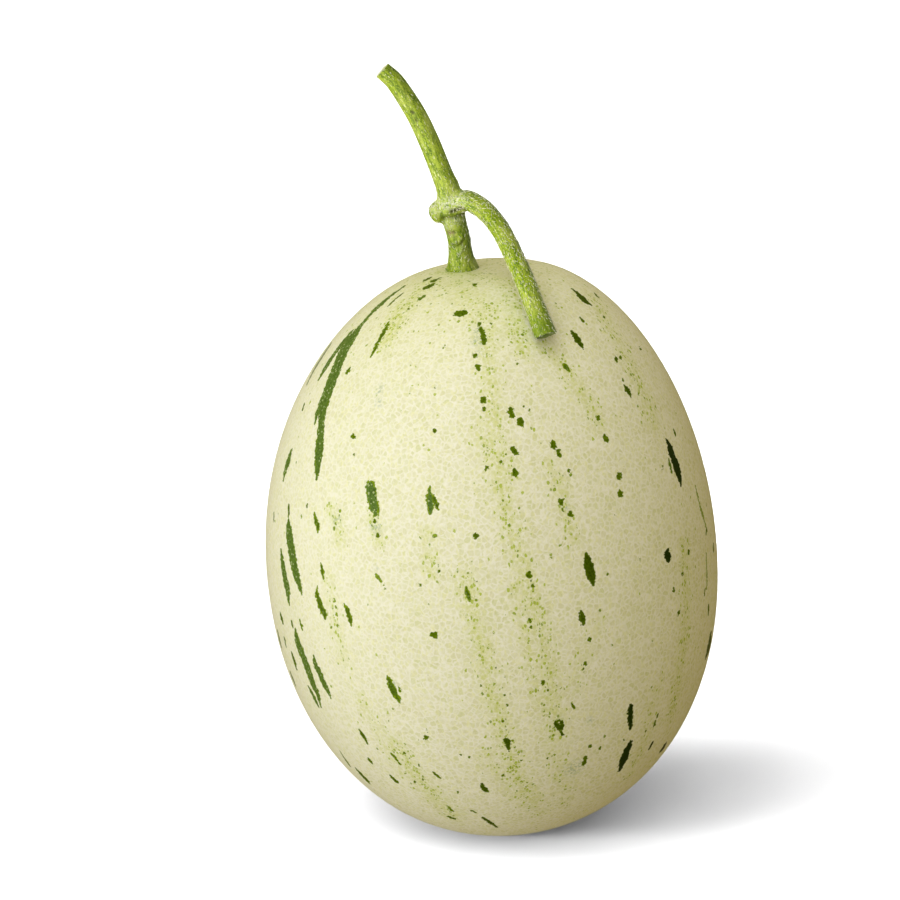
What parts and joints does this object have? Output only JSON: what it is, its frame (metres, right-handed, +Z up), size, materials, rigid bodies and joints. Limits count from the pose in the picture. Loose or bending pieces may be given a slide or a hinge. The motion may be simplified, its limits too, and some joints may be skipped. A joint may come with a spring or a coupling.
{
  "type": "melon",
  "caption": "Upright oval melon with a smooth ivory rind, dark green specks and streaks, and a green stalk that forks into cut lengths of vine.",
  "frame": {"origin": "middle of the small flat spot at the blossom end that the melon stands on", "axes": "+Z up, along the melon's height; -Y towards the front, where the right length of vine arches; +X to the right"},
  "size_m": [0.1285, 0.1282, 0.2206],
  "materials": {
    "rind": "satin",
    "vine": "matte"
  },
  "bodies": {
    "root": {"fruit": "rind", "stem": "vine"}
  },
  "joints": []
}
